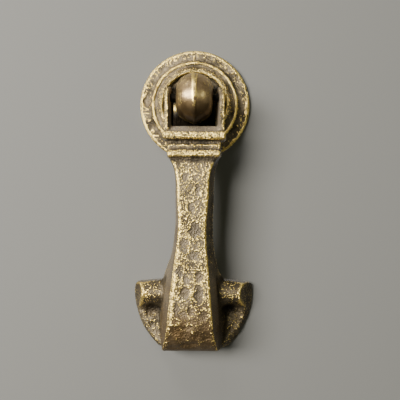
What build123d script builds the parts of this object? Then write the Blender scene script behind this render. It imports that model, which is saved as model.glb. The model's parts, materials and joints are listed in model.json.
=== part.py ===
"""Pendant drop pull for a door or drawer, cast in brass.

A round ringed backplate carries a keeled post. A pin through the post's head holds the yoke of a
drop handle, whose half-moon foot rests close to the door. Millimetres: the origin is the centre of
the backplate's back face, X runs across the door, -Y points away from it and +Z is up.
"""

import os
from math import radians, tan

from build123d import *

os.makedirs("parts", exist_ok=True)

# Backplate: its front from the rim over the two ring crests to the well, as (radius, height)
plate_radius = 16.0
plate_rim_height = 0.9
plate_front = [
    (15.45, 1.3),
    (14.0, 1.35),
    (12.8, 1.75),
    (12.05, 2.4),
    (11.6, 2.1),
    (10.95, 2.3),
    (10.4, 2.75),
    (9.8, 3.15),
    (9.15, 2.7),
]
well_radius = 8.6
well_height = 1.3
relief_middle_radius = 12.05
relief_outer_radius = 13.8
relief_inner_radius = 9.0
relief_depth = 1.0
relief_edge_run = 0.7
relief_rise = 0.2

# Post: a tenon riveted into the plate's countersunk hole, a base, a neck and a head round the pin
tenon_radius = 3.4
rivet_radius = 4.3
rivet_depth = 0.7
base_radius = 5.3
base_thickness = 0.9
base_chamfer = 0.3
neck_radius = 3.8
neck_flare = 0.4
neck_flare_height = 0.8
neck_height = 5.2
screw_hole_radius = 1.727
screw_hole_depth = 8.0
head_keel_radius = 7.05
head_half_width = 5.0
head_profile = [(5.0, 2.2), (4.78, 3.6), (4.1, 4.95), (2.4, 6.15), (0.15, 7.05)]
keel_flat_depth = 0.06
keel_flat_shift = 0.18

# Hinge pin: tight in the drop's ears and free in the post's head
pin_height = 11.5
pin_radius = 1.25
pin_clearance = 0.05
pin_end_proud = 0.1
pin_chamfer = 0.25

# Drop: yoke and collar. Widths are at the front and grow towards the door with the collar's draft
ear_radius = 3.0
arm_front_inner = 6.8
arm_front_outer = 8.1
arm_back_inner = 5.8
arm_back_outer = 8.4
collar_draft = 5.0
yoke_floor = -7.7
yoke_floor_half_width = 7.0
yoke_bevel_start = 12.5
yoke_bevel_bottom = -9.6
upper_bead_top = -9.2
upper_bead_bottom = -11.7
upper_bead_half_width = 8.4
lower_bead_top = -14.2
lower_bead_bottom = -16.4
lower_bead_half_width = 7.0
collar_step = -12.9
collar_bottom = -17.0
collar_half_width = 7.1
groove_inset = 0.6
bead_proud = 0.9
bead_rounding = 0.45
overlap = 0.5

# Drop: shank and the half-moon foot
shank_front = 14.6
shank_back = 9.0
foot_top = -50.5
foot_bottom = -70.4
front_edge = [
    (6.3, -16.6),
    (5.0, -18.9),
    (4.15, -26.0),
    (3.65, -33.0),
    (4.6, -46.5),
    (5.8, -59.0),
    (6.6, foot_bottom),
]
door_edge = [
    (7.6, -16.6),
    (7.3, -18.9),
    (7.35, -26.0),
    (7.8, -33.0),
    (9.0, -46.5),
    (10.4, -59.0),
    (9.0, foot_bottom),
]
foot_gap = 0.3
foot_half_width = 17.35
foot_shoulder = (14.9, -64.3)
foot_end_half_width = 8.4
foot_end_run = 1.7
foot_side_start = 2.3
foot_top_fall = 1.1
foot_corner_radius = 2.2
foot_draft = 28.0
foot_wall = 2.0
top_edge_height = 1.2
rim_height = 3.5

# Drop: side outlines of the crown, the shank's back and the roll, as (height, z)
crown_heel = (5.0, -51.4)
crown_apex = (7.0, -54.2)
crown_toe = (5.2, -57.1)
pocket = (2.9, -59.0)
foot_floor = (2.9, -64.5)
shank_back_curve = [(foot_gap, -51.5), (6.0, -46.5), (shank_back, -38.5)]
roll_curve = [(shank_front, -61.0), (11.6, -67.6), (4.4, foot_bottom)]
shank_hollow_height = 11.2
shank_hollow_half_width = 5.6
shank_hollow_corner = 1.5
shank_hollow_draft = 14.0

pin_axis = Axis((0, -pin_height, 0), (1, 0, 0))


def at_height(height):
    """The plane parallel to the door at this height above it, seen from the front."""
    return Plane.XZ.offset(height)


def side_profile(*points):
    """Points given as (height above the door, z), on the side view's YZ plane."""
    return [(-height, z) for height, z in points]


# ---------------------------------------------------------------- backplate
with BuildPart() as backplate:
    with BuildSketch(Plane.XY):
        with BuildLine():
            front = Spline([(radius, -height) for radius, height in plate_front])
            Polyline((plate_radius, 0), (plate_radius, -plate_rim_height), front @ 0)
            Polyline(
                front @ 1,
                (well_radius, -well_height),
                (tenon_radius, -well_height),
                (tenon_radius, -rivet_depth),
                (rivet_radius, 0),
                (relief_inner_radius, 0),
                (relief_inner_radius + relief_edge_run, -relief_depth),
                (relief_middle_radius, relief_rise - relief_depth),
                (relief_outer_radius, 0),
                (plate_radius, 0),
            )
        make_face()
    revolve(axis=Axis.Y)

# ---------------------------------------------------------------- post: head
with BuildPart() as head:
    with BuildSketch(Plane((0, -pin_height, 0), x_dir=(1, 0, 0), z_dir=(0, 0, 1))):
        with BuildLine():
            right = Spline(head_profile)
            left = Spline([(-x, radius) for x, radius in reversed(head_profile)])
            Line(right @ 1, left @ 0)
            Polyline(left @ 1, (-head_half_width, 0), (head_half_width, 0), right @ 0)
        make_face()
    revolve(axis=pin_axis)
    with BuildSketch(Plane.YZ):
        with Locations((-pin_height, -keel_flat_shift)):
            Circle(head_keel_radius - keel_flat_depth)
    extrude(amount=head_half_width + 1, both=True, mode=Mode.INTERSECT)

# ---------------------------------------------------------------- post
base_top = well_height + base_thickness
with BuildPart() as post:
    with BuildSketch(Plane.XY):
        with BuildLine():
            Polyline(
                (0, 0),
                (rivet_radius, 0),
                (tenon_radius, -rivet_depth),
                (tenon_radius, -well_height),
                (base_radius, -well_height),
                (base_radius, base_chamfer - base_top),
                (base_radius - base_chamfer, -base_top),
            )
            ThreePointArc(
                (base_radius - base_chamfer, -base_top),
                (neck_radius + neck_flare, -base_top - neck_flare_height),
                (neck_radius, -neck_height),
            )
            Polyline(
                (neck_radius, -neck_height),
                (neck_radius, -pin_height),
                (0, -pin_height),
                (0, 0),
            )
        make_face()
    revolve(axis=Axis.Y)
    add(head.part)
    with BuildSketch(Plane.YZ):
        with Locations((-pin_height, 0)):
            Circle(pin_radius + pin_clearance)
    extrude(amount=head_half_width + 1, both=True, mode=Mode.SUBTRACT)
    with BuildSketch(at_height(0)):
        Circle(screw_hole_radius)
    extrude(amount=screw_hole_depth, mode=Mode.SUBTRACT)

# ---------------------------------------------------------------- hinge pin
with BuildPart() as hinge_pin:
    with BuildSketch(Plane.YZ):
        with Locations((-pin_height, 0)):
            Circle(pin_radius)
    extrude(amount=(arm_front_outer + arm_back_outer) / 2 + pin_end_proud, both=True)
    chamfer(hinge_pin.edges().filter_by(GeomType.CIRCLE), pin_chamfer)

# ---------------------------------------------------------------- drop: half-moon foot
def half_moon(inset):
    """Outline of the foot in the plane of the door, drawn this far inside its edge.

    It runs on above and below the foot, because the side outline shapes both ends.
    """
    half_width = foot_half_width - inset
    end_half_width = foot_end_half_width - inset / 2
    shoulder_x = foot_shoulder[0] - inset
    shoulder_z = foot_shoulder[1] + inset / 2
    top = foot_top + 2 * crown_apex[0]
    side_start = foot_top - foot_side_start
    end = foot_bottom - foot_end_run + inset
    Polyline((-half_width, side_start), (-half_width, top), (half_width, top), (half_width, side_start))
    ThreePointArc((half_width, side_start), (shoulder_x, shoulder_z), (end_half_width, end))
    Line((end_half_width, end), (-end_half_width, end))
    ThreePointArc((-end_half_width, end), (-shoulder_x, shoulder_z), (-half_width, side_start))


def foot_section(inset, back):
    """Side outline of the foot: a round crown along its top, then the floor down to the rim."""
    top_edge = (top_edge_height, foot_top - inset)
    rim = (rim_height - inset, foot_bottom + inset)
    Polyline(side_profile(top_edge, (back, foot_top - inset), (back, foot_bottom + inset), rim))
    Spline(
        side_profile(
            rim,
            (foot_floor[0] - inset, foot_floor[1]),
            (pocket[0] - inset, pocket[1] + inset / 2),
            (crown_toe[0] - inset, crown_toe[1] + inset / 2),
            (crown_apex[0] - inset, crown_apex[1]),
            (crown_heel[0] - inset, crown_heel[1] - inset / 2),
            top_edge,
        )
    )


with BuildPart() as foot:
    with BuildSketch(Plane.YZ):
        with BuildLine():
            foot_section(0, foot_gap)
        make_face()
    extrude(amount=foot_half_width + 1, both=True)
    with BuildSketch(at_height(foot_gap)):
        with BuildLine():
            half_moon(0)
        make_face()
    extrude(amount=crown_apex[0] + 1, taper=foot_draft, mode=Mode.INTERSECT)
    with BuildSketch(at_height(0)) as foot_front:
        with BuildLine():
            side_top = foot_top - foot_top_fall
            ThreePointArc((-foot_half_width, side_top), (0, foot_top), (foot_half_width, side_top))
            Polyline(
                (foot_half_width, side_top),
                (foot_half_width, foot_bottom),
                (-foot_half_width, foot_bottom),
                (-foot_half_width, side_top),
            )
        make_face()
        fillet(foot_front.vertices().group_by(Axis.Y)[-1], foot_corner_radius)
    extrude(amount=crown_apex[0] + 1, mode=Mode.INTERSECT)

with BuildPart() as foot_hollow:
    with BuildSketch(Plane.YZ):
        with BuildLine():
            foot_section(foot_wall, 0)
        make_face()
    extrude(amount=foot_half_width + 1, both=True)
    with BuildSketch(at_height(0)):
        with BuildLine():
            half_moon(foot_wall)
        make_face()
    extrude(amount=crown_apex[0] + 1, taper=foot_draft, mode=Mode.INTERSECT)

# ---------------------------------------------------------------- drop: shank
with BuildPart() as shank:
    for height, right in ((shank_front, front_edge), (0, door_edge)):
        left = [(-x, z) for x, z in reversed(right)]
        with BuildSketch(at_height(height)):
            with BuildLine():
                Spline(right)
                Line(right[-1], left[0])
                Spline(left)
                Line(left[-1], right[0])
            make_face()
    loft(ruled=True)
    with BuildSketch(Plane.YZ):
        with BuildLine():
            Polyline(side_profile(roll_curve[2], (foot_gap, foot_bottom), shank_back_curve[0]))
            Spline(side_profile(*shank_back_curve))
            Polyline(
                side_profile(
                    shank_back_curve[2],
                    (shank_back, front_edge[0][1]),
                    (shank_front, front_edge[0][1]),
                    roll_curve[0],
                )
            )
            ThreePointArc(side_profile(*roll_curve))
        make_face()
    extrude(amount=foot_half_width, both=True, mode=Mode.INTERSECT)

# ---------------------------------------------------------------- drop: collar beads
def band_outline(front_half_width, front):
    """Seen from above: a band's front at this half-width and height, its sides drafted to the back."""
    back_half_width = front_half_width + (front - shank_back) * tan(radians(collar_draft))
    Polyline(
        (-back_half_width, -shank_back),
        (-front_half_width, -front),
        (front_half_width, -front),
        (back_half_width, -shank_back),
        close=True,
    )


beads = []
for top, bottom, half_width in (
    (upper_bead_top, upper_bead_bottom, upper_bead_half_width),
    (lower_bead_top, lower_bead_bottom, lower_bead_half_width),
):
    with BuildPart() as bead:
        with BuildSketch(Plane.XY.offset(bottom)):
            with BuildLine():
                band_outline(half_width, shank_front + bead_proud)
            make_face()
        extrude(amount=top - bottom)
        fillet(bead.edges().filter_by(Plane.XY), bead_rounding * (top - bottom))
    beads.append(bead.part)

# ---------------------------------------------------------------- drop: one of the yoke's arms
with BuildPart() as arm:
    with BuildSketch(Plane.XY.offset(upper_bead_top - overlap)):
        with BuildLine():
            back = pin_height - ear_radius
            front = pin_height + ear_radius
            Polyline(
                (arm_back_inner, -back),
                (arm_front_inner, -front),
                (arm_front_outer, -front),
                (arm_back_outer, -back),
                close=True,
            )
        make_face()
    extrude(amount=ear_radius - upper_bead_top + overlap)
    with BuildSketch(Plane.YZ):
        with Locations((-pin_height, 0)):
            Circle(ear_radius)
        with Locations((-pin_height, (upper_bead_top - overlap) / 2)):
            Rectangle(2 * ear_radius, overlap - upper_bead_top)
    extrude(amount=2 * arm_back_outer, mode=Mode.INTERSECT)

# ---------------------------------------------------------------- drop: yoke, collar, shank and foot
# Flat bands of the collar below the upper bead: top, bottom, half-width and front height
collar_bands = [
    (upper_bead_bottom + overlap, collar_step, collar_half_width, shank_front - groove_inset),
    (collar_step, lower_bead_top - overlap, collar_half_width, shank_front),
    (lower_bead_bottom + overlap, collar_bottom, front_edge[0][0], shank_front - groove_inset),
]

with BuildPart() as drop:
    add(foot.part)
    add(shank.part)
    add(beads)
    add(arm.part)
    mirror(arm.part, about=Plane.YZ)
    for top, bottom, half_width, front in collar_bands:
        with BuildSketch(Plane.XY.offset(bottom)):
            with BuildLine():
                band_outline(half_width, front)
            make_face()
        extrude(amount=top - bottom)
    with BuildSketch(Plane.YZ):
        with BuildLine():
            Polyline(
                side_profile(
                    (shank_back, yoke_floor),
                    (yoke_bevel_start, yoke_floor),
                    (shank_front, yoke_bevel_bottom),
                    (shank_front, yoke_bevel_bottom - overlap),
                    (shank_back, yoke_bevel_bottom - overlap),
                ),
                close=True,
            )
        make_face()
    extrude(amount=yoke_floor_half_width, both=True)
    with BuildSketch(Plane.YZ):
        with Locations((-pin_height, 0)):
            Circle(pin_radius)
    extrude(amount=2 * arm_back_outer, both=True, mode=Mode.SUBTRACT)
    add(foot_hollow.part, mode=Mode.SUBTRACT)
    with BuildSketch(at_height(0)):
        with Locations((0, (foot_top + foot_bottom) / 2)):
            RectangleRounded(
                2 * shank_hollow_half_width,
                foot_top - foot_bottom - 2 * foot_wall,
                shank_hollow_corner,
            )
    extrude(amount=shank_hollow_height, taper=shank_hollow_draft, mode=Mode.SUBTRACT)

pieces = {"backplate": backplate, "post": post, "hinge_pin": hinge_pin, "drop": drop}
for name, piece in pieces.items():
    piece.part.label = name
    export_step(piece.part, f"parts/{name}.step")
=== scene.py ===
import json
import math
from functools import cached_property
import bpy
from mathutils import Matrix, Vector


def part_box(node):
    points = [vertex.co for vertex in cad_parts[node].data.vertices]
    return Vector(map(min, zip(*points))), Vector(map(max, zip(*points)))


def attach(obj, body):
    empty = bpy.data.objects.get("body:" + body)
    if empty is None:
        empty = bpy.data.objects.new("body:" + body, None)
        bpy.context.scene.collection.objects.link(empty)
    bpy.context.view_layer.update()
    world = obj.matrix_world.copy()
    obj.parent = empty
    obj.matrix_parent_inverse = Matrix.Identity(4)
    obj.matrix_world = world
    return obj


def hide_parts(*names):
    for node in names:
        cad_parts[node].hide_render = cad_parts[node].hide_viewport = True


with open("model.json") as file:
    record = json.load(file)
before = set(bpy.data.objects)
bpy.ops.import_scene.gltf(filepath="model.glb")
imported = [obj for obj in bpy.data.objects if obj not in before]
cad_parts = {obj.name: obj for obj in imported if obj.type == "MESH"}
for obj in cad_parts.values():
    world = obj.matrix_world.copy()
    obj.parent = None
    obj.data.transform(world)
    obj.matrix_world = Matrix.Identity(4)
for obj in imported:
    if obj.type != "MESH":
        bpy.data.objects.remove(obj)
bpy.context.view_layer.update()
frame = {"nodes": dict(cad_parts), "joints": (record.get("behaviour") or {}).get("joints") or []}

from types import SimpleNamespace

import bpy
import numpy as np
from mathutils import Vector
from mathutils.bvhtree import BVHTree

MM = 0.001

# Places worked out from the frame, in millimetres. Height means distance out from the door, along -Y.
PLATE_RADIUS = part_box("backplate")[1][0] / MM
PIVOT_HEIGHT = -frame["joints"][0]["pos_m"][1] / MM


# ---------------------------------------------------------------- working on mesh points
# Noise looks up its random values by a key mixed from a cell's three numbers and these primes
NOISE_VALUES = 4096
NOISE_PRIMES = (73856093, 19349663, 83492791)


def noise(points, size, seed):
    """Smooth random values from -1 to 1 at points in millimetres, with lumps about size across."""
    table = np.random.default_rng(seed).uniform(-1, 1, NOISE_VALUES)
    at = points / size + 100.0
    cell = np.floor(at).astype(np.int64)
    t = at - cell
    t = t * t * t * (t * (t * 6 - 15) + 10)
    total = np.zeros(len(points))
    for dx in (0, 1):
        for dy in (0, 1):
            for dz in (0, 1):
                mixed = (cell + np.array((dx, dy, dz))) * NOISE_PRIMES
                key = mixed[:, 0] ^ mixed[:, 1] ^ mixed[:, 2]
                weight = np.ones(len(points))
                for axis, step in enumerate((dx, dy, dz)):
                    weight = weight * (t[:, axis] if step else 1 - t[:, axis])
                total += weight * table[key % NOISE_VALUES]
    return total


def warped(points, size, amount, seed):
    """The points pushed about by smooth noise, so that shapes drawn through them come out irregular."""
    push = [noise(points, size, seed + axis) for axis in range(3)]
    return points + amount * np.stack(push, axis=1)


def smoothstep(low, high, x):
    """0 up to low and 1 past high, with a smooth rise between. With low above high it falls instead."""
    t = np.clip((x - low) / (high - low), 0, 1)
    return t * t * (3 - 2 * t)


def hump(x, middle, width):
    """1 at the middle, falling smoothly away over about this width."""
    return np.exp(-(((x - middle) / width) ** 2))


def blended(a, b, share):
    """a where the share is 0 and b where it is 1."""
    return a * (1 - share) + b * share


def smoothed(points, edges, steps, amount=0.6):
    """The points after this many steps towards the middle of their neighbours."""
    count = len(points)
    degree = np.maximum(np.bincount(edges.ravel(), minlength=count), 1)[:, None]
    a, b = edges[:, 0], edges[:, 1]
    for _ in range(steps):
        sums = [
            np.bincount(a, points[b, k], count) + np.bincount(b, points[a, k], count)
            for k in range(3)
        ]
        around = np.stack(sums, axis=1)
        points = points + amount * (around / degree - points)
    return points


class Casting:
    """A mesh that stands for a CAD node, with points that can be worked like a casting's surface."""

    def __init__(self, piece, node, soften):
        self.object, self.mesh, self.node = piece, piece.data, node
        self.low, self.high = (np.array(corner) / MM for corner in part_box(node))
        count = len(self.mesh.vertices)
        flat = np.zeros(count * 3)
        self.mesh.vertices.foreach_get("co", flat)
        pairs = np.zeros(len(self.mesh.edges) * 2, np.int64)
        self.mesh.edges.foreach_get("vertices", pairs)
        self.edges = pairs.reshape(-1, 2)
        self.points = smoothed(flat.reshape(count, 3) / MM, self.edges, soften)
        self.update()

    def update(self):
        """Puts the points, kept inside the node's box, into the mesh and works out their normals."""
        self.points = np.clip(self.points, self.low, self.high)
        self.mesh.vertices.foreach_set("co", (self.points * MM).ravel())
        self.mesh.update()
        flat = np.zeros(len(self.mesh.vertices) * 3)
        self.mesh.vertex_normals.foreach_get("vector", flat)
        self.normal = flat.reshape(-1, 3)

    @property
    def facing(self):
        """How squarely each point looks out from the door: 1 straight out, -1 straight back at it."""
        return -self.normal[:, 1]

    def raise_by(self, height):
        """Moves each point along its normal by its own height in millimetres."""
        self.points = self.points + self.normal * height[:, None]
        self.update()

    def outwardness(self, steps):
        """How far each point stands out from the shape around it: above 0 on edges and crests."""
        return ((self.points - smoothed(self.points, self.edges, steps)) * self.normal).sum(1)

    def paint(self, name, values):
        """Stores a value from 0 to 1 at each point, for the material to read by name."""
        layer = self.mesh.attributes.new(name, "FLOAT", "POINT")
        layer.data.foreach_set("value", np.clip(values, 0, 1).astype(np.float32))

    def finish(self, body, slot, material):
        """Gives the piece its material, hides the CAD node that it stands for, and attaches it to the body
        that it moves with.
        """
        self.mesh.materials.append(material)
        self.mesh.shade_smooth()
        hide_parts(self.node)
        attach(self.object, body)


def new_object(name, mesh):
    made = bpy.data.objects.new(name, mesh)
    bpy.context.scene.collection.objects.link(made)
    return made


def remeshed(node, name, voxel):
    """A CAD node's shape as a fine, even, closed mesh."""
    piece = new_object(name, frame["nodes"][node].data.copy())
    even = piece.modifiers.new("even", "REMESH")
    even.mode = "VOXEL"
    even.voxel_size = voxel * MM
    shown = piece.evaluated_get(bpy.context.evaluated_depsgraph_get())
    piece.data = bpy.data.meshes.new_from_object(shown)
    piece.modifiers.clear()
    piece.data.materials.clear()
    return piece


def felt_out(node):
    """The front and the back profile of a CAD node that is turned about the Y axis, felt out by rays
    along that axis. Each is rows of radius and place along the axis, from the hole out to the rim."""
    mesh = frame["nodes"][node].data
    tree = BVHTree.FromPolygons([v.co for v in mesh.vertices], [p.vertices for p in mesh.polygons])
    low, high = (np.array(corner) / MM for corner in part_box(node))
    profiles = []
    for start, direction in ((low[1] - 1, 1), (high[1] + 1, -1)):
        felt = []
        for radius in np.arange(0.005, high[0], 0.01):
            hit = tree.ray_cast(Vector((radius, start, 0)) * MM, Vector((0, direction, 0)))[0]
            if hit is not None:
                felt.append((radius, hit.y / MM))
        profiles.append(np.array(felt))
    return profiles


def turned(node, name, around, spacing):
    """A CAD node that is turned about the Y axis, as a closed mesh of rings with this many points
    around. spacing(radius, on_front) is the distance from one ring to the next."""
    front, back = felt_out(node)
    outline = np.concatenate([front, back[::-1], front[:1]])
    # Lengths along the outline: run at each of its points, and stops where the rings go
    run = np.concatenate([[0], np.cumsum(np.hypot(*np.diff(outline, axis=0).T))])
    stops = [0.0]
    while stops[-1] < run[-1]:
        radius = np.interp(stops[-1], run, outline[:, 0])
        stops.append(stops[-1] + spacing(radius, stops[-1] < run[len(front)]))
    stops = np.array(stops[:-1])
    rings = np.stack([np.interp(stops, run, outline[:, k]) for k in (0, 1)], axis=1)
    turn = np.linspace(0, 2 * np.pi, around, endpoint=False)
    across = np.outer(rings[:, 0], np.sin(turn))
    out = np.repeat(rings[:, 1:], around, axis=1)
    up = np.outer(rings[:, 0], np.cos(turn))
    verts = np.stack([across, out, up], axis=2).reshape(-1, 3)
    ring, step = np.meshgrid(np.arange(len(rings)), np.arange(around), indexing="ij")
    this, following = ring * around, (ring + 1) % len(rings) * around
    beside = (step + 1) % around
    corners = [this + step, this + beside, following + beside, following + step]
    faces = np.stack(corners, axis=2).reshape(-1, 4)
    made = bpy.data.meshes.new(name)
    made.from_pydata((verts * MM).tolist(), [], faces.tolist())
    return new_object(name, made)


# ---------------------------------------------------------------- materials
# Colours are linear, as Blender's shaders take them
GOLD = (1.0, 0.735, 0.215)
# Grime, also used as painted shade
GRIME_AND_SHADE = (0.006, 0.0045, 0.003)
# Warm patina, also used as painted shade on the post's head
WARM_PATINA_AND_SHADE = (0.095, 0.058, 0.022)
# Pale patina, also used as painted light on the drop
PALE_PATINA_AND_LIGHT = (0.34, 0.28, 0.205)
PATINA_DARK = (0.066, 0.052, 0.031)
PATINA_LIGHT = (0.158, 0.125, 0.076)
PLATE_LIGHT = (0.225, 0.178, 0.11)
POST_DARK = (0.18, 0.125, 0.062)
POST_LIGHT = (0.35, 0.245, 0.125)
PIN_DARK = (0.06, 0.05, 0.035)
PIN_LIGHT = (0.12, 0.10, 0.07)
# Sizes in millimetres of the patina's clouds
BLOTCH, MOTTLE = 4.0, 1.2


class Nodes:
    """The nodes of a new material. Most methods make a node and return its output, which feeds others."""

    def __init__(self, name):
        self.material = bpy.data.materials.new(name)
        self.material.use_nodes = True
        self.tree = self.material.node_tree
        self.tree.nodes.clear()

    def node(self, kind, inputs, **settings):
        """Makes a node. An input is given another node's output, a number or a colour."""
        made = self.tree.nodes.new(kind)
        for key, value in settings.items():
            setattr(made, key, value)
        for key, value in inputs.items():
            if hasattr(value, "is_output"):
                self.tree.links.new(value, made.inputs[key])
            else:
                made.inputs[key].default_value = (*value, 1) if isinstance(value, tuple) else value
        return made

    @cached_property
    def place(self):
        return self.node("ShaderNodeTexCoord", {}).outputs["Object"]

    def cloud(self, size, detail, roughness=0.55):
        """Smooth noise from 0 to 1, with lumps about size across in millimetres."""
        inputs = {"Vector": self.place, "Scale": 1 / (size * MM), "Detail": detail, "Roughness": roughness}
        return self.node("ShaderNodeTexNoise", inputs).outputs["Fac"]

    def granules(self, size):
        """1 in the middle of each of many small irregular cells, falling to 0 between them."""
        cells = self.node("ShaderNodeTexVoronoi", {"Vector": self.place, "Scale": 1 / (size * MM)})
        return self.between(cells.outputs["Distance"], 0.60, 0.05)

    def painted(self, name):
        """The value that Casting.paint stored under this name, or 0 if it stored none."""
        return self.node("ShaderNodeAttribute", {}, attribute_name=name).outputs["Fac"]

    def maths(self, operation, a, b):
        return self.node("ShaderNodeMath", {0: a, 1: b}, operation=operation).outputs[0]

    def between(self, value, low, high, to_low=0.0, to_high=1.0):
        """to_low while the value is at low, to_high while it is at high, and smooth between them."""
        inputs = {"Value": value, "From Min": low, "From Max": high, "To Min": to_low, "To Max": to_high}
        return self.node("ShaderNodeMapRange", inputs, interpolation_type="SMOOTHSTEP").outputs["Result"]

    def mix(self, factor, a, b):
        inputs = {"Factor": factor, "A": a, "B": b}
        return self.node("ShaderNodeMix", inputs, data_type="RGBA").outputs["Result"]

    def surfaced(self, shader):
        """The material, with this shader on its surface."""
        self.node("ShaderNodeOutputMaterial", {"Surface": shader.outputs[0]})
        return self.material


def aged_brass(
    name, dark, light, grain=0.55, speckle=1.5, relief=0.24, roughness=0.50, bare_roughness=0.34
):
    """Brass gone brown. The mesh says where it is rubbed bare (wear), where dirt lies and where shade is
    painted dark, where the patina is warmer and where shade is painted warm brown (brown), and where the
    patina is paler and where light is painted pale (pale). Granules of the grain's size in millimetres
    break the bare metal up, more so the higher the speckle, and clouds of noise vary the patina. relief is
    the granules' height in millimetres."""
    nodes = Nodes(name)
    mix, between, maths = nodes.mix, nodes.between, nodes.maths
    wear, grime_and_shade = nodes.painted("wear"), nodes.painted("grime_and_shade")
    dust = nodes.cloud(0.6 * grain, 2, 0.6)
    grit = maths("ADD", maths("MULTIPLY", nodes.granules(grain), 0.6), maths("MULTIPLY", dust, 0.8))
    specks = maths("MULTIPLY", maths("SUBTRACT", grit, 0.60), speckle)
    bare = between(maths("ADD", wear, specks), 0.48, 0.80)
    bare = maths("MULTIPLY", bare, between(grime_and_shade, 0.15, 0.7, 1.0, 0.0))

    colour = mix(between(nodes.cloud(BLOTCH, 3), 0.38, 0.62), dark, light)
    colour = mix(between(nodes.cloud(MOTTLE, 3), 0.52, 0.38, 0.0, 0.45), colour, dark)
    colour = mix(nodes.painted("pale"), colour, PALE_PATINA_AND_LIGHT)
    colour = mix(nodes.painted("brown"), colour, WARM_PATINA_AND_SHADE)
    colour = mix(bare, colour, GOLD)
    colour = mix(between(grime_and_shade, 0.05, 0.9, 0.0, 0.98), colour, GRIME_AND_SHADE)
    # Patina is mostly metal too, and deep grime and painted shade are made all metal because their dark
    # colour then leaves them no sheen
    metallic = maths("MAXIMUM", between(bare, 0, 1, 0.75, 1.0), between(grime_and_shade, 0.6, 0.95))
    bump = nodes.node("ShaderNodeBump", {"Distance": relief * MM, "Height": grit})
    inputs = {
        "Base Color": colour,
        "Metallic": metallic,
        "Roughness": between(bare, 0, 1, roughness, bare_roughness),
        "Normal": bump.outputs["Normal"],
    }
    return nodes.surfaced(nodes.node("ShaderNodeBsdfPrincipled", inputs))


# ---------------------------------------------------------------- backplate
POINTS_AROUND = 600
# Radii of the two ring crests, of the well in the middle and of the bright line along the rim
CREST_OUTER, CREST_INNER, WELL, RIM_LINE = 12.05, 9.8, 8.8, 15.6
# The band between the outer crest and the rim has hollows and seams across it. Each is given by its
# middle in degrees clockwise from the top, its half-width in degrees and its depth.
BAND_MIDDLE, BAND_HALF_WIDTH = 14.0, 1.25
HOLLOWS = [
    (-115, 8.5, 0.38),
    (-86, 9.5, 0.46),
    (-58, 6.0, 0.18),
    (-13, 12, 0.10),
    (93, 11.5, 0.36),
    (126, 11, 0.28),
]
SEAMS = [(1, 1.3, 0.13), (-31, 1.2, 0.12), (40, 1.6, 0.12)]
# A rubbed spot on the well's floor, which light reaches past the post on the left, so the well's painted
# shade is left off it
RUBBED_X, RUBBED_Z = -5.9, -1.0


def ring_spacing(radius, on_front):
    """Rings lie close together on the front, outside the well, and near the rim."""
    if on_front and radius > WELL - 0.3 or radius > PLATE_RADIUS - 0.5:
        return 0.15
    return 0.4


def away_from(middle, angle):
    """Degrees from the middle to the angle, brought within -180 to 180."""
    return (angle - middle + 180) % 360 - 180


def shape_plate():
    """The backplate with its hollows, seams and grain, and each point's radius, share in the outer
    band and depth in a hollow or seam."""
    mesh = turned("backplate", "backplate_cast", POINTS_AROUND, ring_spacing)
    plate = Casting(mesh, "backplate", soften=2)
    p = plate.points
    x, z = p[:, 0], p[:, 2]
    true_radius = np.hypot(x, z)
    irregular = warped(p, 1.5, 0.45, 71)
    radius = np.hypot(irregular[:, 0], irregular[:, 2])
    angle = np.degrees(np.arctan2(irregular[:, 0], irregular[:, 2]))
    front = smoothstep(0.2, 0.8, plate.facing) * smoothstep(WELL - 0.2, WELL + 0.4, true_radius)
    band = smoothstep(12.4, 13.0, radius) * (1 - smoothstep(15.0, 15.7, radius))

    depth = np.zeros(len(p))
    for middle, half, deep in HOLLOWS:
        r = np.hypot(away_from(middle, angle) / half, (radius - BAND_MIDDLE) / BAND_HALF_WIDTH)
        depth = np.maximum(depth, deep * (1 - smoothstep(0.3, 1.15, r)))
    for middle, half, deep in SEAMS:
        depth += deep * hump(away_from(middle, angle), 0, half) * band
    crests = hump(true_radius, CREST_OUTER, 0.35) + hump(true_radius, CREST_INNER, 0.5)
    relief = 0.10 * noise(p, 1.9, 1) + 0.06 * noise(p, 0.95, 2) + 0.035 * noise(p, 0.5, 3)
    relief -= depth * (1 + 0.35 * noise(p, 0.8, 8))
    relief += crests * (0.12 * noise(p, 2.0, 4) + 0.07 * noise(p, 0.9, 5))
    plate.raise_by(np.minimum(relief, 0.12) * front)
    return plate, SimpleNamespace(points=p, radius=true_radius, band=band, depth=depth)


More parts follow.
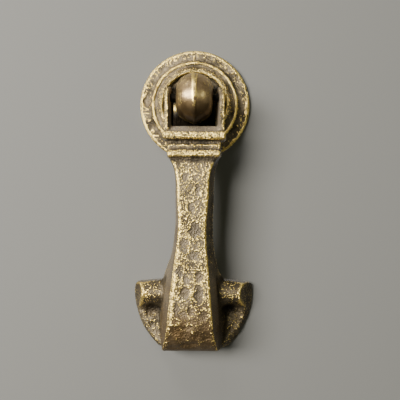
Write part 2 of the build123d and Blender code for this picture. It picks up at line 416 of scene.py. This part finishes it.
def make_plate():
    """The backplate: painted dark as shade in its well, and rubbed on its crests and along its rim."""
    plate, on = shape_plate()
    p = on.points
    x, z = p[:, 0], p[:, 2]
    edge, fine = plate.outwardness(14), plate.outwardness(3)
    behind = smoothstep(-0.2, 0.4, -plate.facing)
    # Painted shade: the well is painted dark, except at its top and outside the yoke's arms, where light
    # gets in
    well = 1 - smoothstep(WELL - 0.5, WELL + 0.3, on.radius)
    well *= smoothstep(6.8, 4.2, z) * smoothstep(8.1, 7.7, np.abs(x))
    rubbed = hump(x, RUBBED_X, 0.9) * hump(z, RUBBED_Z, 1.7) * (1 - behind)

    wear = 0.40 + np.clip(edge / 0.07, -0.3, 0.4) * (0.35 + 0.65 * on.band)
    wear += np.clip(fine / 0.03, -0.2, 0.2) + 0.08 * noise(p, 4.0, 6) - 0.15 * on.depth
    wear += 0.95 * hump(on.radius, CREST_OUTER, 0.33)
    wear += 0.3 * hump(on.radius, WELL + 0.45, 0.2)
    wear += 0.3 * hump(on.radius, RIM_LINE, 0.3)
    plate.paint("wear", np.maximum(wear * (1 - 0.7 * behind), rubbed))
    ditch = np.clip(-edge / 0.30, 0, 1) * (0.3 + 0.7 * on.band)
    plate.paint("grime_and_shade", np.maximum(ditch, well * (1 - behind)) * (1 - rubbed))
    plate.paint("brown", 0.25 * smoothstep(0.0, 0.9, noise(p, 5.0, 7)))
    brass = aged_brass("plate_brass", PATINA_DARK, PLATE_LIGHT, grain=0.46, speckle=0.95)
    plate.finish("mounting", "aged_brass", brass)


# ---------------------------------------------------------------- post
POST_VOXEL = 0.12
# A small dent in the keel
NICK_X, NICK_Z, NICK_DEPTH = 0.25, -1.4, 0.10
# The left edge of the keel, which is rubbed to a thin line
KEEL_LINE_X = -0.42


def make_post():
    """The post: a smooth head, streaked along its height, with a rubbed keel over a neck and lower head
    painted dark as shade.
    """
    post = Casting(remeshed("post", "post_cast", POST_VOXEL), "post", soften=2)
    p = post.points
    x, height, z = p[:, 0], -p[:, 1], p[:, 2]
    front = smoothstep(0.1, 0.7, post.facing)
    streaks = noise(p * (1, 1, 0.12), 0.34, 15)
    nick = 1 - smoothstep(0.2, 1.0, np.hypot((x - NICK_X) / 0.6, (z - NICK_Z) / 0.7))
    relief = 0.02 * noise(p, 2.5, 11) + 0.008 * noise(p, 0.8, 12) + 0.008 * streaks - 0.03
    post.raise_by(relief - NICK_DEPTH * nick * front)

    edge = post.outwardness(16)
    head = smoothstep(6.5, 8.0, height)
    upper = smoothstep(-6.5, -1.0, z)
    keel = (1 - smoothstep(0.25, 0.9, np.abs(x))) * smoothstep(9, 12, height)
    high_keel = keel * smoothstep(-2.5, 0.5, z) * smoothstep(0.35, 0.0, x)
    keel_line = hump(x, KEEL_LINE_X, 0.18) * smoothstep(-3.0, 0.0, z) * front

    wear = 0.12 + (0.22 + np.clip(edge / 0.06, -0.3, 0.35)) * upper
    wear += 0.12 * high_keel + 0.1 * keel + 0.75 * keel_line
    wear += 0.10 * streaks + 0.1 * noise(p, 2.0, 13)
    post.paint("wear", wear * head)
    # Painted shade: the neck and the lower head, which face away from the light, are painted dark, and the
    # head's creases are darkened too
    post.paint("grime_and_shade", np.maximum.reduce([-edge / 0.2, 0.9 * (1 - head), 0.75 * (1 - upper)]))
    # Painted shade in warm brown on the right half of the keel and on the lower head, with random warm
    # patches besides
    brown = 0.5 * keel * smoothstep(0.1, 0.5, x) + 0.7 * smoothstep(0.5, -5.0, z)
    post.paint("brown", brown + 0.25 * smoothstep(0.0, 0.9, noise(p, 3.0, 14)))
    brass = aged_brass(
        "post_brass",
        POST_DARK,
        POST_LIGHT,
        speckle=0.3,
        relief=0.012,
        roughness=0.32,
        bare_roughness=0.40,
    )
    post.finish("mounting", "worn_brass", brass)


# ---------------------------------------------------------------- hinge pin
PIN_VOXEL = 0.12


def make_pin():
    """The pin: plain drawn wire, painted dark as shade inside the yoke and left brighter at its ends."""
    pin = Casting(remeshed("hinge_pin", "hinge_pin_drawn", PIN_VOXEL), "hinge_pin", soften=2)
    p = pin.points
    pin.raise_by(0.01 * noise(p, 0.6, 21) - 0.01)
    pin.paint("wear", 0.2 + pin.outwardness(8) / 0.04)
    pin.paint("grime_and_shade", 0.9 * (1 - smoothstep(8.0, 8.3, np.abs(p[:, 0]))))
    pin.paint("brown", np.full(len(p), 0.3))
    brass = aged_brass("pin_brass", PIN_DARK, PIN_LIGHT, speckle=0.3, relief=0.01)
    pin.finish("handle", "pin_metal", brass)


# ---------------------------------------------------------------- drop
DROP_VOXEL = 0.24
# How far the shank leans to the left at its foot, and how much it twists: the shift to the right for
# each millimetre that a point is nearer the door than the pin
LEAN, TWIST = 0.8, 0.09
# Places down the drop: the bottom of the window's bevelled sill, the top of the upper bead, the
# bottom of the collar, the top of the foot, and where its crowns end and its floors begin
SILL_BOTTOM, BEAD_TOP, COLLAR_BOTTOM, FOOT_TOP, FLOOR_TOP = -9.6, -9.2, -17.0, -50.5, -57.0
# Only the two beads stand out further than these heights, between which their masks rise
BEAD_FROM, BEAD_TO = 14.9, 15.3
# The fronts of the yoke's arms are rubbed along these lines
LEFT_ARM_LINE_X, RIGHT_ARM_LINE_X = -7.45, 7.85
# Deep pockets under the foot's crowns, this far to each side of the leaning shank's middle
POCKET_X, POCKET_Z, SHANK_MIDDLE_X = 11.2, -59.2, -0.6
# Hammer marks on the shank's face: x, z, half-width, half-height, depth
HAMMER_MARKS = [
    (-2.3, -21.8, 0.8, 1.2, 0.14),
    (1.0, -25.0, 0.9, 1.6, 0.20),
    (-0.6, -29.8, 0.9, 1.5, 0.30),
    (0.4, -35.7, 1.5, 2.1, 0.32),
    (-2.5, -40.0, 1.2, 2.1, 0.30),
    (-0.1, -42.6, 1.4, 1.4, 0.34),
    (-3.6, -46.9, 1.1, 1.8, 0.32),
    (-2.0, -48.8, 1.1, 1.4, 0.26),
    (1.5, -48.2, 1.3, 1.6, 0.34),
    (-2.2, -52.5, 1.4, 1.9, 0.38),
    (1.6, -53.0, 1.3, 2.5, 0.50),
    (-4.4, -56.8, 1.0, 1.6, 0.36),
    (-2.8, -58.4, 1.3, 1.1, 0.34),
    (-0.7, -57.3, 1.0, 1.1, 0.44),
    (2.8, -58.6, 1.1, 1.2, 0.22),
    (-4.9, -62.9, 1.6, 1.5, 0.40),
    (-0.8, -62.0, 1.9, 0.8, 0.30),
    (3.6, -64.5, 1.2, 1.6, 0.34),
    (-1.2, -67.2, 2.6, 1.0, 0.36),
    (-6.0, -67.4, 1.2, 1.6, 0.30),
]


def scoops(points, marks):
    """Depth below the surface of overlapping hammer marks, seen from the front."""
    depth = np.zeros(len(points))
    for x, z, half_width, half_height, deep in marks:
        r = np.hypot((points[:, 0] - x) / half_width, (points[:, 2] - z) / half_height)
        depth = np.maximum(depth, deep * (1 - smoothstep(0.45, 1.25, r)))
    return depth


def lean(points):
    """Moves the points in place: the casting isn't quite true, and its shank leans and twists."""
    x, height, z = points[:, 0], -points[:, 1], points[:, 2]
    x -= LEAN * smoothstep(-28, -60, z) * smoothstep(0.5, 8.0, height)
    twisted = smoothstep(-15, -18, z) * smoothstep(-52, -40, z) * smoothstep(5.0, 8.0, height)
    x += TWIST * (PIVOT_HEIGHT - height) * twisted


def shape_drop():
    """The drop with its lean, hammer marks and grain, and the masks used for them. Each mask is 1 on
    its feature and 0 away from it."""
    drop = Casting(remeshed("drop", "drop_cast", DROP_VOXEL), "drop", soften=3)
    p = drop.points
    lean(p)
    drop.update()
    x, height, z = p[:, 0], -p[:, 1], p[:, 2]

    front = smoothstep(0.3, 0.85, drop.facing) * smoothstep(8, 11, height)
    face = front * smoothstep(COLLAR_BOTTOM, COLLAR_BOTTOM - 1.5, z)
    left_half = smoothstep(0.0, -2.0, x)
    outer = smoothstep(5.0, 7.5, height)
    toe = smoothstep(-57, -65, z + 1.5 * noise(p, 2.4, 35)) * outer
    floors = smoothstep(7.5, 5.5, height) * smoothstep(FLOOR_TOP, FLOOR_TOP - 3, z)
    floors *= smoothstep(0.2, 0.8, drop.facing)
    pocket = hump(z, POCKET_Z, 1.6) * hump(np.abs(x - SHANK_MIDDLE_X), POCKET_X, 2.6)
    pocket *= 1 - smoothstep(5.5, 8, height)
    depth = 0.85 * scoops(warped(p, 1.3, 0.32, 81), HAMMER_MARKS) * face
    marked = np.clip(depth / 0.2, 0, 1)
    # The left edge of the face is rounder than the right one, and catches the light
    left_edge = smoothstep(0.15, 0.75, drop.outwardness(120)) * front * left_half

    grain = 0.3 * noise(p, 0.8, 32) + 0.7 * noise(p, 0.48, 33)
    relief = 0.06 * noise(p, 2.4, 31) + 0.07 * grain * (0.4 + 0.6 * front) * (1 - 0.9 * marked)
    relief += 0.05 * face * smoothstep(-28, -44, z) * noise(p, 1.5, 34)
    relief += 0.24 * floors * (noise(p, 1.1, 39) + 0.6 * noise(p, 0.6, 40))
    relief += toe * face * (0.26 * noise(p, 2.1, 42) + 0.05 * noise(p, 0.9, 45))
    relief -= depth + 0.35 * left_edge * smoothstep(-36, -44, z)
    relief -= 0.8 * pocket * smoothstep(0.0, 0.4, drop.facing)
    drop.raise_by(relief)
    masks = {"face": face, "left_half": left_half, "outer": outer, "toe": toe, "floors": floors}
    masks |= {"pocket": pocket, "depth": depth, "marked": marked}
    return drop, SimpleNamespace(points=p, **masks)


def find_features(drop, on):
    """Adds masks of the drop's other features, found on its finished shape."""
    p = on.points
    x, height, z = p[:, 0], -p[:, 1], p[:, 2]
    rightward = drop.normal[:, 0]
    # Yoke and collar
    on.proud = smoothstep(11.0, 13.5, height)
    on.beads = smoothstep(BEAD_FROM, BEAD_TO, height)
    on.collar = smoothstep(COLLAR_BOTTOM, COLLAR_BOTTOM + 0.6, z)
    on.collar *= smoothstep(BEAD_TOP + 0.6, BEAD_TOP - 0.2, z) * (1 - on.beads)
    on.under_bead = hump(z + 0.25 * noise(p, 1.0, 41), COLLAR_BOTTOM, 0.75)
    on.under_bead *= smoothstep(BEAD_TO - 0.1, BEAD_FROM - 0.1, height)
    on.sill = smoothstep(11.3, 11.9, height) * smoothstep(SILL_BOTTOM - 0.3, SILL_BOTTOM + 0.2, z)
    on.sill *= smoothstep(7.0, 6.6, np.abs(x)) * (1 - on.beads)
    on.arm = smoothstep(BEAD_TOP + 0.4, BEAD_TOP + 1, z) * smoothstep(0.3, 0.7, drop.facing)
    on.arm *= 1 - on.sill
    on.arm_line = hump(x, np.where(x < 0, LEFT_ARM_LINE_X, RIGHT_ARM_LINE_X), 0.38)
    on.inside_yoke = smoothstep(BEAD_TOP + 0.2, BEAD_TOP + 1.2, z)
    on.inside_yoke *= smoothstep(0.25, 0.6, -np.sign(x) * rightward)
    # Sides and foot
    on.side = 1 - smoothstep(0.25, 0.6, drop.facing)
    on.behind = smoothstep(0.1, 0.6, -drop.facing)
    on.below_collar = smoothstep(COLLAR_BOTTOM, COLLAR_BOTTOM - 3, z)
    on.wings = smoothstep(9.0, 7.5, height) * smoothstep(FOOT_TOP + 2.5, FOOT_TOP + 0.5, z)
    on.lip = on.wings * smoothstep(3.0, 4.0, height) * smoothstep(12.0, 13.0, np.abs(x))
    on.lip *= smoothstep(-60.5, -58.5, z)
    on.warm = smoothstep(-52.5, -62.5, z + 1.2 * noise(p, 2.2, 43)) * on.outer
    on.left_side = on.side * smoothstep(0.3, 0.7, -rightward) * on.below_collar * (1 - on.wings)
    on.right_side = on.side * smoothstep(0.3, 0.7, rightward) * (1 - on.wings)


def drop_wear(drop, on, edge, broad):
    """How far the drop is rubbed bare: most on its edges, and less in marks, on sides and low down."""
    p = on.points
    height, z = -p[:, 1], p[:, 2]
    wear = 0.39 + np.clip(drop.outwardness(3) / 0.05, -0.2, 0.2) + 0.14 * noise(p, 3.0, 36)
    edge_wear = 0.45 + 0.4 * on.proud + 0.25 * noise(p, 1.6, 38)
    wear += np.clip(edge / 0.10, -0.35, 0.6) * edge_wear * (1 - 0.25 * on.toe)
    wear += 0.10 * on.face - 2.8 * on.depth - 0.3 * on.floors
    wear -= 0.02 * on.beads + 0.25 * on.collar + 0.6 * on.under_bead
    wear -= (0.42 * on.warm + 0.52 * on.toe) * (1 - np.clip(edge / 0.16, 0, 1))
    wear -= 0.45 * on.side * (1 - np.clip(edge / 0.08, 0, 1))
    # The wings are duller on their crowns and at the edges beside the door, and rubbed on their lips
    wing_edge = np.clip(edge / 0.10, 0, 0.6)
    beside_door = smoothstep(2.5, 0.5, height)
    wear -= on.wings * (0.12 * smoothstep(5.5, 6.5, height) + 0.25 * wing_edge * beside_door)
    wear += 0.7 * wing_edge * on.lip
    wear = blended(wear, 0.16 + 0.10 * noise(p, 1.2, 44) + 0.85 * on.arm_line, on.arm)
    wear = blended(wear, 0.12, on.sill)
    left_band = np.clip((broad - 0.25) / 0.35, 0, 1) * on.face * on.left_half * smoothstep(-40, -46, z)
    wear += 0.45 * left_band * (1 - 0.5 * on.toe)
    return wear * (1 - 0.6 * on.behind)


def drop_grime_and_shade(drop, on, edge, broad):
    """Where dirt lies on the drop, and where shade is painted dark on it."""
    x, rightward = on.points[:, 0], drop.normal[:, 0]
    corners = -edge / (0.35 - 0.15 * on.collar)
    # Painted shade in the drop's broad hollows, less on its proud parts and sides
    sheltered = np.clip(-broad / 1.2, 0, 0.7) * (1 - on.proud) * (1 - 0.6 * on.side)
    # Painted shade on the arms' inner faces: near black on the left arm's, which faces away from the
    # light, and slight on the right arm's
    inside_yoke = np.where(x < 0, 0.95, 0.1) * on.inside_yoke
    dirt_and_shade = np.maximum.reduce([corners, sheltered, inside_yoke])
    dirt_and_shade *= (1 - on.sill) * (1 - 0.75 * on.marked)
    under_bead = 0.6 * on.under_bead
    # Painted shade on the right flank and on the wings' right-facing ends, which face away from the light
    right_side = 0.12 * on.side * smoothstep(2, 4, x) * on.below_collar
    right_wing = 0.42 * on.wings * smoothstep(0.3, 0.6, rightward)
    # Painted shade in the pockets under the crowns, lighter in the left one, where light falls
    pockets = 0.85 * on.pocket * np.where(x < 0, 0.8, 1)
    return np.maximum.reduce([dirt_and_shade, under_bead, right_side, right_wing, pockets])


def make_drop():
    """The drop: hammered and speckled on its face, rubbed on its edges and warmer at its toe."""
    drop, on = shape_drop()
    find_features(drop, on)
    edge, broad = drop.outwardness(12), drop.outwardness(120)
    drop.paint("wear", drop_wear(drop, on, edge, broad))
    drop.paint("grime_and_shade", drop_grime_and_shade(drop, on, edge, broad))
    # Painted light: the sill and the left side are painted pale where light falls on them; the hammer
    # marks take a paler patina and the lower right side is paler too
    pale_marks = 0.18 * on.marked * on.face * (1 - 0.6 * on.toe)
    pale_right_side = 0.6 * on.right_side * smoothstep(-44, -52, on.points[:, 2])
    drop.paint("pale", np.maximum.reduce([on.sill, 0.45 * on.left_side, pale_marks + pale_right_side]))
    patches = smoothstep(0.1, 0.9, noise(on.points, 4.0, 37))
    drop.paint("brown", 0.62 * on.warm + 0.15 * on.toe + 0.3 * patches)
    drop.finish("handle", "aged_brass", aged_brass("cast_brass", PATINA_DARK, PATINA_LIGHT))


make_plate()
make_post()
make_pin()
make_drop()


# ---------------------------------------------------------------- stage, lights and camera
# Metres, and degrees for the roll. The camera looks straight at the door from close by, and sees
# twice the half-width across the door's surface.
CAMERA_X, CAMERA_DISTANCE, CAMERA_Z = 0.0017, 0.150, -0.0277
CAMERA_ROLL = -0.42
VIEW_HALF_WIDTH = 0.059
# The lights point at the middle of the object
MIDDLE = (0, -0.008, -0.03)
# The wall stands this far behind the object's back, and bends to the floor in this many steps
COVE_GAP = 0.0003
BEND_STEPS = 12
COVE_GREY = (0.15, 0.15, 0.143)


def one_way(name, colour):
    """A plain matt surface, clear from behind and to light, so that it never hides the object's back."""
    nodes = Nodes(name)
    from_behind = nodes.node("ShaderNodeNewGeometry", {}).outputs["Backfacing"]
    by_light = nodes.node("ShaderNodeLightPath", {}).outputs["Is Shadow Ray"]
    inputs = {
        0: nodes.maths("MAXIMUM", from_behind, by_light),
        1: nodes.node("ShaderNodeBsdfDiffuse", {"Color": colour}).outputs[0],
        2: nodes.node("ShaderNodeBsdfTransparent", {}).outputs[0],
    }
    return nodes.surfaced(nodes.node("ShaderNodeMixShader", inputs))


def studio_cove(depth, height, width, drop_to, bend):
    """A wall just behind the object that curves into the floor below it."""
    profile = [(0.0, height)]
    for step in range(BEND_STEPS + 1):
        turn = math.radians(90 * step / BEND_STEPS)
        profile.append((-bend * (1 - math.cos(turn)), drop_to + bend * (1 - math.sin(turn))))
    profile.append((-depth, drop_to))
    mesh = bpy.data.meshes.new("cove")
    verts = [(x, y, z) for y, z in profile for x in (-width, width)]
    faces = [(2 * i, 2 * i + 2, 2 * i + 3, 2 * i + 1) for i in range(len(profile) - 1)]
    mesh.from_pydata(verts, [], faces)
    mesh.shade_smooth()
    cove = new_object("cove", mesh)
    cove.location.y = COVE_GAP
    mesh.materials.append(one_way("cove_paper", COVE_GREY))


def area_light(name, place, size, power, colour):
    """A rectangular soft light that points at the middle of the object. Its power is in watts."""
    data = bpy.data.lights.new(name, "AREA")
    data.shape = "RECTANGLE"
    data.size, data.size_y = size
    data.energy = power
    data.color = colour
    light = new_object(name, data)
    light.location = place
    light.rotation_euler = (Vector(MIDDLE) - Vector(place)).to_track_quat("-Z", "Y").to_euler()


def soft_room(colour, strength):
    """Even light from all round."""
    world = bpy.data.worlds.new("soft_room")
    world.use_nodes = True
    background = world.node_tree.nodes["Background"]
    background.inputs["Color"].default_value = (*colour, 1)
    background.inputs["Strength"].default_value = strength
    return world


studio_cove(depth=1.2, height=0.6, width=0.9, drop_to=-0.40, bend=0.10)
area_light("window_key", (-0.31, -0.41, 0.08), (0.32, 0.20), 8.6, (1.0, 0.965, 0.90))
area_light("window_top", (-0.12, -0.20, 0.30), (0.18, 0.12), 0.75, (1.0, 0.98, 0.95))
area_light("window_glint", (0.28, -0.27, 0.05), (0.025, 0.10), 0.15, (0.93, 1.0, 0.62))
area_light("back_fill", (0.0, 0.42, 0.0), (0.30, 0.30), 2.4, (1.0, 1.0, 1.0))
bpy.context.scene.world = soft_room(colour=(0.86, 0.87, 0.84), strength=0.055)

camera_data = bpy.data.cameras.new("camera")
camera_data.lens = camera_data.sensor_width / 2 * CAMERA_DISTANCE / VIEW_HALF_WIDTH
camera = new_object("camera", camera_data)
camera.location = (CAMERA_X, -CAMERA_DISTANCE, CAMERA_Z)
camera.rotation_euler = (math.radians(90), math.radians(CAMERA_ROLL), 0)
bpy.context.scene.camera = camera

bpy.context.view_layer.update()
